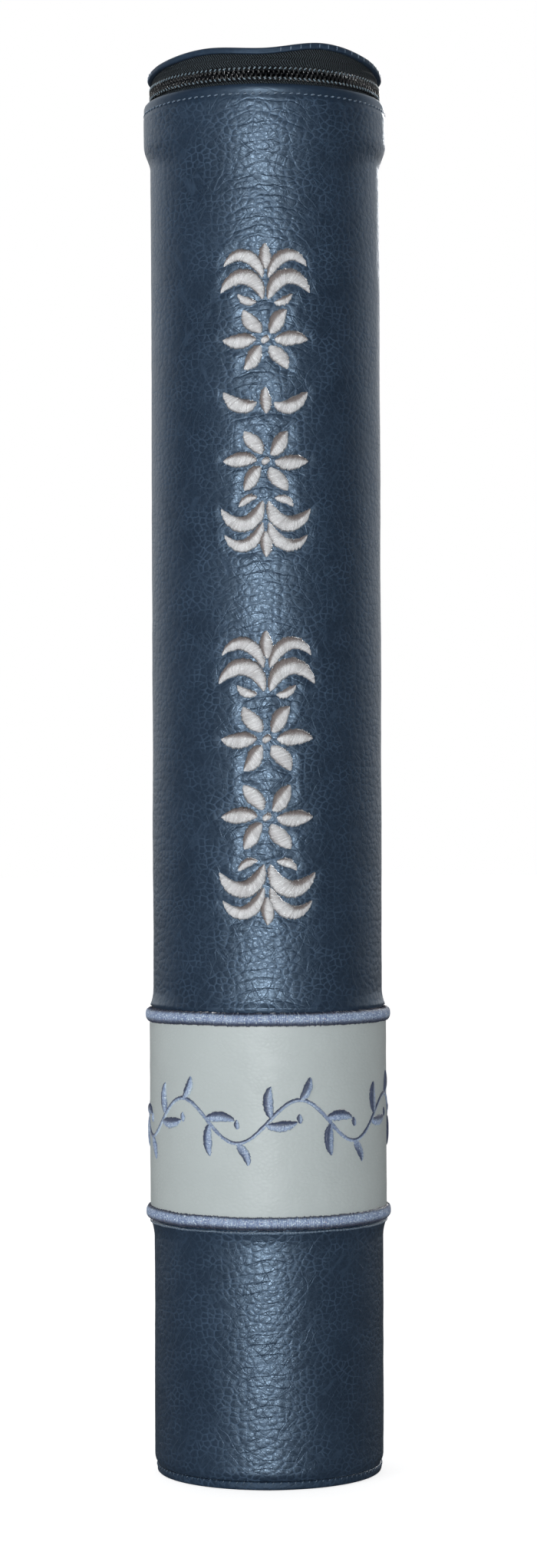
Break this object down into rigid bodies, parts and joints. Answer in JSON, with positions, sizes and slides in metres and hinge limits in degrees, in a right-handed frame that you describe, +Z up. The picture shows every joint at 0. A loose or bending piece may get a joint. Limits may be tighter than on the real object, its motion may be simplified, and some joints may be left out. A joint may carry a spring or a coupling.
{
  "type": "megillah case",
  "caption": "Slim upright scroll case: leather over a rigid tube, a pale band with raised stitched borders, and a zip round a hinged round lid.",
  "frame": {"origin": "middle of the flat underside, on the surface the case stands on", "axes": "+Z up along the tube, -Y to the front with the embroidery, +Y to the lid's hinge, +X to the right seen from the front"},
  "size_m": [0.0746, 0.0746, 0.4302],
  "materials": {
    "navy_leather": "pebbled, semi-matte",
    "pale_leather": "fine smooth grain, satin",
    "blue_thread": "satin stitch with a metallic sparkle",
    "lining": "matt cloth",
    "board": "grey board, matt",
    "zip_tape": "herringbone twill, matt",
    "zip_teeth": "glossy black coil",
    "black_metal": "glossy black enamel"
  },
  "bodies": {
    "case": {"core_tube": "board", "body_lining": "lining", "base_board": "board", "base_lining": "lining", "base_cover": "navy_leather", "leather_sleeve": "navy_leather", "contrast_band": "pale_leather", "band_border_lower": "blue_thread", "band_border_upper": "blue_thread", "zip_tape_lower": "zip_tape", "zip_teeth_lower": "zip_teeth", "zip_top_stop_lower": "black_metal", "zip_bottom_stop": "black_metal", "hinge_strap_case": "navy_leather"},
    "lid": {"lid_cover": "navy_leather", "lid_board": "board", "lid_lining": "lining", "zip_tape_upper": "zip_tape", "zip_teeth_upper": "zip_teeth", "zip_top_stop_upper": "black_metal", "hinge_strap_lid": "navy_leather"},
    "slider": {"zip_slider": "black_metal"},
    "pull": {"zip_pull": "black_metal"}
  },
  "joints": [
    {"name": "lid_hinge", "type": "hinge", "parent": "case", "child": "lid", "pos_m": [0, 0.036, 0.422], "axis": [-1, 0, 0], "range_deg": [0, 170]},
    {"name": "slider_travel", "type": "hinge", "parent": "case", "child": "slider", "pos_m": [0, 0, 0.4204], "axis": [0, 0, 1], "range_deg": [0, 285.7], "deforming": ["zip_teeth_lower", "zip_teeth_upper"]},
    {"name": "pull_swing", "type": "hinge", "parent": "slider", "child": "pull", "pos_m": [-0.02311, 0.03129, 0.4204], "axis": [0.8043, 0.5942, 0], "range_deg": [0, 170]}
  ]
}
